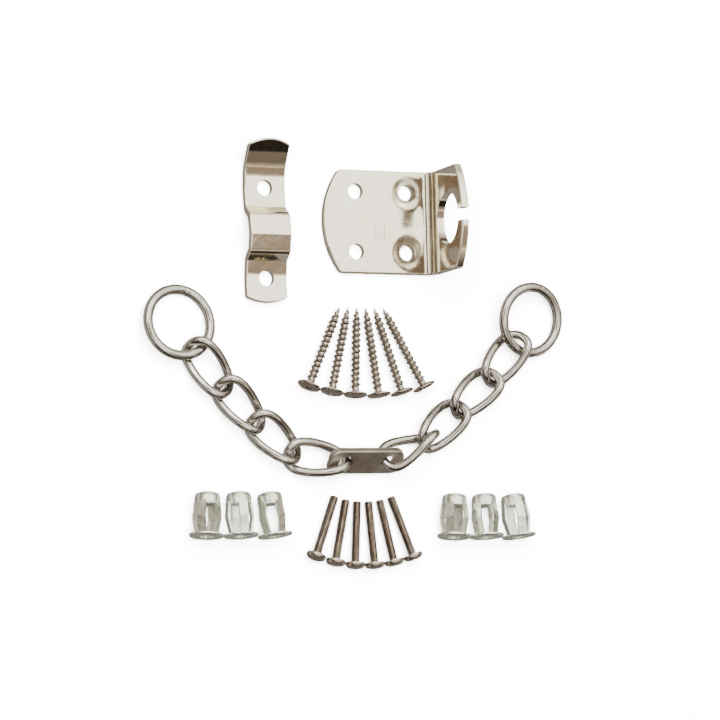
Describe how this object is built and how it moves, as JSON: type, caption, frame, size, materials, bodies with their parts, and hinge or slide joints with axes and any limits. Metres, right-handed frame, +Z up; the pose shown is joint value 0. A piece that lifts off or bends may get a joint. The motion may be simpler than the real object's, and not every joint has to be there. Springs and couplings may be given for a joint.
{
  "type": "door chain guard",
  "caption": "Door safety chain kit laid out flat: keyhole bracket, keeper strap, curb chain with end rings and plate link, wood screws, machine screws and jack nuts.",
  "frame": {"origin": "on the surface the pieces lie on, under the middle of the layout's bounding box", "axes": "+X to the right across the layout, +Y towards the bracket and strap, +Z up from the surface"},
  "size_m": [0.1856, 0.1746, 0.0355],
  "materials": {
    "bright_plate": "bright nickel plate over pressed steel",
    "bright_wire": "bright nickel plate on drawn wire",
    "sanded_plate": "fine sandy satin face",
    "nickel_screw": "brownish nickel plate on cut thread",
    "zinc_nut": "pale clear zinc plate"
  },
  "bodies": {
    "bracket": {"door_bracket": "bright_plate"},
    "keeper_strap": {"keeper_strap": "bright_plate"},
    "ring_left": {"ring_left": "bright_wire"},
    "link_1": {"link_1": "bright_wire"},
    "link_2": {"link_2": "bright_wire"},
    "link_3": {"link_3": "bright_wire"},
    "link_4": {"link_4": "bright_wire"},
    "plate_link": {"plate_link": "sanded_plate"},
    "link_5": {"link_5": "bright_wire"},
    "link_6": {"link_6": "bright_wire"},
    "link_7": {"link_7": "bright_wire"},
    "link_8": {"link_8": "bright_wire"},
    "ring_right": {"ring_right": "bright_wire"},
    "wood_screw_1": {"wood_screw_1": "nickel_screw"},
    "machine_screw_1": {"machine_screw_1": "nickel_screw"},
    "wood_screw_2": {"wood_screw_2": "nickel_screw"},
    "machine_screw_2": {"machine_screw_2": "nickel_screw"},
    "wood_screw_3": {"wood_screw_3": "nickel_screw"},
    "machine_screw_3": {"machine_screw_3": "nickel_screw"},
    "wood_screw_4": {"wood_screw_4": "nickel_screw"},
    "machine_screw_4": {"machine_screw_4": "nickel_screw"},
    "wood_screw_5": {"wood_screw_5": "nickel_screw"},
    "machine_screw_5": {"machine_screw_5": "nickel_screw"},
    "wood_screw_6": {"wood_screw_6": "nickel_screw"},
    "machine_screw_6": {"machine_screw_6": "nickel_screw"},
    "jack_nut_1": {"jack_nut_1": "zinc_nut"},
    "jack_nut_2": {"jack_nut_2": "zinc_nut"},
    "jack_nut_3": {"jack_nut_3": "zinc_nut"},
    "jack_nut_4": {"jack_nut_4": "zinc_nut"},
    "jack_nut_5": {"jack_nut_5": "zinc_nut"},
    "jack_nut_6": {"jack_nut_6": "zinc_nut"}
  },
  "joints": [
    {"name": "keeper_strap_lift", "type": "slide", "parent": "bracket", "child": "keeper_strap", "axis": [0, 0, 1], "range_m": [0, 0.03]},
    {"name": "plate_link_lift", "type": "slide", "parent": "bracket", "child": "plate_link", "axis": [0, 0, 1], "range_m": [0, 0.03]},
    {"name": "link_4_swing", "type": "hinge", "parent": "plate_link", "child": "link_4", "pos_m": [-0.00787, -0.04273, 0.0075], "axis": [0.053, 0.9986, 0], "range_deg": [0, 29]},
    {"name": "link_3_swing", "type": "hinge", "parent": "link_4", "child": "link_3", "pos_m": [-0.02927, -0.03563, 0.0019], "axis": [0.1989, 0.9726, 0.12], "range_deg": [0, 23]},
    {"name": "link_2_swing", "type": "hinge", "parent": "link_3", "child": "link_2", "pos_m": [-0.04317, -0.02873, 0.005], "axis": [0.678, 0.735, 0], "range_deg": [0, 20]},
    {"name": "link_1_swing", "type": "hinge", "parent": "link_2", "child": "link_1", "pos_m": [-0.05757, -0.01023, 0.0025], "axis": [0.2881, 0.8382, 0.4631], "range_deg": [0, 23]},
    {"name": "ring_left_swing", "type": "hinge", "parent": "link_1", "child": "ring_left", "pos_m": [-0.06957, 0.00067, 0.0035], "axis": [0.8331, 0.5531, 0], "range_deg": [0, 26]},
    {"name": "link_5_swing", "type": "hinge", "parent": "plate_link", "child": "link_5", "pos_m": [0.00943, -0.04083, 0.0054], "axis": [0.276, -0.9611, 0], "range_deg": [0, 29]},
    {"name": "link_6_swing", "type": "hinge", "parent": "link_5", "child": "link_6", "pos_m": [0.02583, -0.03453, 0.0031], "axis": [0.5031, -0.8642, 0], "range_deg": [0, 29]},
    {"name": "link_7_swing", "type": "hinge", "parent": "link_6", "child": "link_7", "pos_m": [0.04463, -0.02093, 0.0034], "axis": [0.6718, -0.7408, 0], "range_deg": [0, 20]},
    {"name": "link_8_swing", "type": "hinge", "parent": "link_7", "child": "link_8", "pos_m": [0.06233, -0.00743, 0.0031], "axis": [0.9158, -0.108, 0.3869], "range_deg": [0, 23]},
    {"name": "ring_right_swing", "type": "hinge", "parent": "link_8", "child": "ring_right", "pos_m": [0.06953, 0.00557, 0.0051], "axis": [0.8013, -0.5982, 0], "range_deg": [0, 16]},
    {"name": "wood_screw_1_lift", "type": "slide", "parent": "bracket", "child": "wood_screw_1", "axis": [0, 0, 1], "range_m": [0, 0.03]},
    {"name": "machine_screw_1_lift", "type": "slide", "parent": "bracket", "child": "machine_screw_1", "axis": [0, 0, 1], "range_m": [0, 0.03]},
    {"name": "wood_screw_2_lift", "type": "slide", "parent": "bracket", "child": "wood_screw_2", "axis": [0, 0, 1], "range_m": [0, 0.03]},
    {"name": "machine_screw_2_lift", "type": "slide", "parent": "bracket", "child": "machine_screw_2", "axis": [0, 0, 1], "range_m": [0, 0.03]},
    {"name": "wood_screw_3_lift", "type": "slide", "parent": "bracket", "child": "wood_screw_3", "axis": [0, 0, 1], "range_m": [0, 0.03]},
    {"name": "machine_screw_3_lift", "type": "slide", "parent": "bracket", "child": "machine_screw_3", "axis": [0, 0, 1], "range_m": [0, 0.03]},
    {"name": "wood_screw_4_lift", "type": "slide", "parent": "bracket", "child": "wood_screw_4", "axis": [0, 0, 1], "range_m": [0, 0.03]},
    {"name": "machine_screw_4_lift", "type": "slide", "parent": "bracket", "child": "machine_screw_4", "axis": [0, 0, 1], "range_m": [0, 0.03]},
    {"name": "wood_screw_5_lift", "type": "slide", "parent": "bracket", "child": "wood_screw_5", "axis": [0, 0, 1], "range_m": [0, 0.03]},
    {"name": "machine_screw_5_lift", "type": "slide", "parent": "bracket", "child": "machine_screw_5", "axis": [0, 0, 1], "range_m": [0, 0.03]},
    {"name": "wood_screw_6_lift", "type": "slide", "parent": "bracket", "child": "wood_screw_6", "axis": [0, 0, 1], "range_m": [0, 0.03]},
    {"name": "machine_screw_6_lift", "type": "slide", "parent": "bracket", "child": "machine_screw_6", "axis": [0, 0, 1], "range_m": [0, 0.03]},
    {"name": "jack_nut_1_lift", "type": "slide", "parent": "bracket", "child": "jack_nut_1", "axis": [0, 0, 1], "range_m": [0, 0.03]},
    {"name": "jack_nut_2_lift", "type": "slide", "parent": "bracket", "child": "jack_nut_2", "axis": [0, 0, 1], "range_m": [0, 0.03]},
    {"name": "jack_nut_3_lift", "type": "slide", "parent": "bracket", "child": "jack_nut_3", "axis": [0, 0, 1], "range_m": [0, 0.03]},
    {"name": "jack_nut_4_lift", "type": "slide", "parent": "bracket", "child": "jack_nut_4", "axis": [0, 0, 1], "range_m": [0, 0.03]},
    {"name": "jack_nut_5_lift", "type": "slide", "parent": "bracket", "child": "jack_nut_5", "axis": [0, 0, 1], "range_m": [0, 0.03]},
    {"name": "jack_nut_6_lift", "type": "slide", "parent": "bracket", "child": "jack_nut_6", "axis": [0, 0, 1], "range_m": [0, 0.03]}
  ]
}
